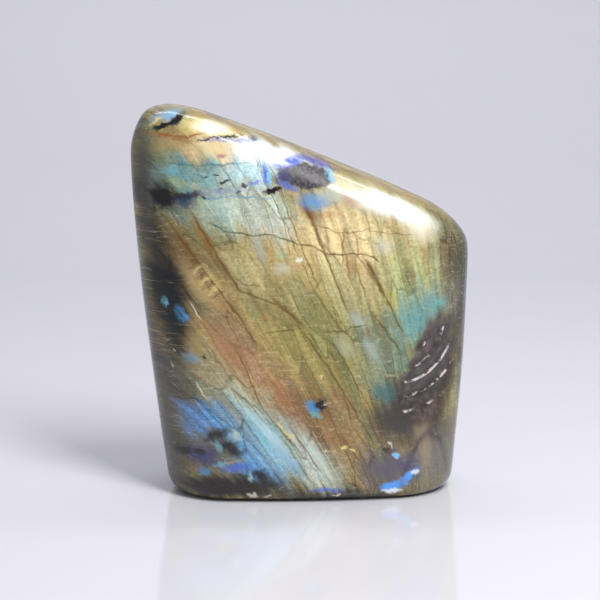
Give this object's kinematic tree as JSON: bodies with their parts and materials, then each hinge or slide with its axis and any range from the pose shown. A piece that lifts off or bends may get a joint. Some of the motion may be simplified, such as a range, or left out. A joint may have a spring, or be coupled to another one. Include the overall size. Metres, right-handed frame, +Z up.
{
  "type": "polished labradorite free-form",
  "caption": "Upright free-form labradorite stone, ground and polished to a slanted top and rounded edges, with a conchoidal break on its front right edge, standing on its flat cut base.",
  "frame": {"origin": "middle of the stone's box, on the surface that its flat cut base stands on", "axes": "+Z up, the polished display face towards -Y, +X to the viewer's right, so the top slants down towards +X"},
  "size_m": [0.103, 0.0462, 0.1181],
  "materials": {
    "labradorite": "polished"
  },
  "bodies": {
    "root": {"stone": "labradorite"}
  },
  "joints": []
}
